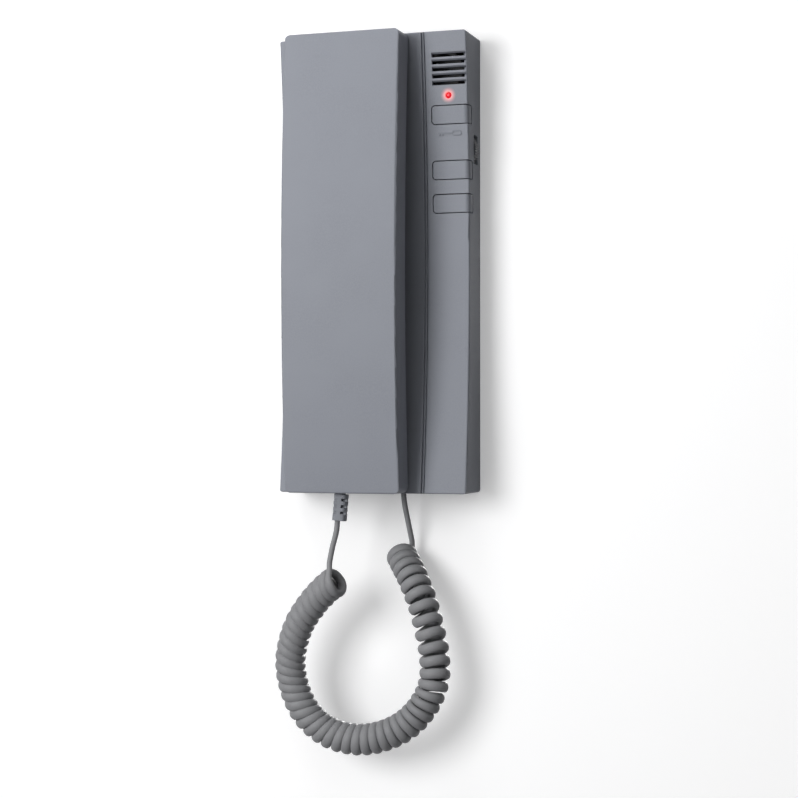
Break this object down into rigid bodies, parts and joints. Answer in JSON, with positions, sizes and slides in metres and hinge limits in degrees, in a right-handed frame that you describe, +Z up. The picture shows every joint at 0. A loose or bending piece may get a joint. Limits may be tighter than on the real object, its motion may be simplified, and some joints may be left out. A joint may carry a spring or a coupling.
{
  "type": "audio intercom handset",
  "caption": "Wall-mounted audio intercom: a base with a hollow front, a bowed lift-off handset bridging it, a side panel of push buttons with sounder slots, and a curly cord.",
  "frame": {"origin": "centre of the base's back face, which lies on the wall", "axes": "+X to the right of someone facing it, +Y into the wall, +Z up"},
  "size_m": [0.093, 0.0435, 0.3363],
  "materials": {
    "grey_plastic": "satin moulded grey plastic",
    "dark_plastic": "dull dark plastic, inside the housing",
    "wheel_plastic": "dark grey knurled plastic",
    "board_green": "green solder mask",
    "steel": "zinc plated",
    "black_rubber": "matt black",
    "boot_rubber": "matt grey",
    "red_lens": "clear red lens, lit",
    "symbol_print": "grey print in low relief",
    "terminal_green": "green moulded plastic",
    "cord_sheath": "satin grey sheath"
  },
  "bodies": {
    "base": {"wall_plate": "dark_plastic", "base_cover": "grey_plastic", "circuit_board": "board_green", "board_screws": "steel", "sounder": "dark_plastic", "sounder_gasket": "black_rubber", "status_led": "red_lens", "led_spacer": "dark_plastic", "button_switches": "dark_plastic", "volume_pot": "dark_plastic", "hook_spring": "steel", "hook_switch": "dark_plastic", "terminal_block": "terminal_green", "terminal_screws": "steel", "cover_screw": "steel", "cord_grommet": "black_rubber", "key_symbol": "symbol_print", "handset_lead": "cord_sheath", "cord_coil": "cord_sheath", "base_lead": "cord_sheath"},
    "handset": {"handset_front_shell": "grey_plastic", "handset_back_shell": "grey_plastic", "earpiece_speaker": "steel", "earpiece_gasket": "black_rubber", "microphone": "steel", "microphone_boot": "black_rubber", "handset_screws": "steel", "cord_boot": "boot_rubber"},
    "door_button": {"door_button": "grey_plastic"},
    "middle_button": {"middle_button": "grey_plastic"},
    "lower_button": {"lower_button": "grey_plastic"},
    "volume_wheel": {"volume_wheel": "wheel_plastic"},
    "hook_plunger": {"hook_plunger": "grey_plastic"}
  },
  "joints": [
    {"name": "handset_lift", "type": "slide", "parent": "base", "child": "handset", "axis": [0, -0.866, 0.5], "range_m": [0, 0.08], "deforming": ["handset_lead", "cord_coil", "base_lead"]},
    {"name": "hook_slide", "type": "slide", "parent": "base", "child": "hook_plunger", "axis": [0, -1, 0], "range_m": [0, 0.004], "deforming": ["hook_spring"]},
    {"name": "door_press", "type": "slide", "parent": "base", "child": "door_button", "axis": [0, 1, 0], "range_m": [0, 0.001], "stiffness_N_per_m": 1000},
    {"name": "middle_press", "type": "slide", "parent": "base", "child": "middle_button", "axis": [0, 1, 0], "range_m": [0, 0.001], "stiffness_N_per_m": 1000},
    {"name": "lower_press", "type": "slide", "parent": "base", "child": "lower_button", "axis": [0, 1, 0], "range_m": [0, 0.001], "stiffness_N_per_m": 1000},
    {"name": "volume_turn", "type": "hinge", "parent": "base", "child": "volume_wheel", "pos_m": [0.0385, -0.0077, 0.0535], "axis": [0, -1, 0], "range_deg": [-135, 135]}
  ],
  "couplings": [
    {"joint": "hook_slide", "follows": "handset_lift", "ratio": 0.05}
  ]
}
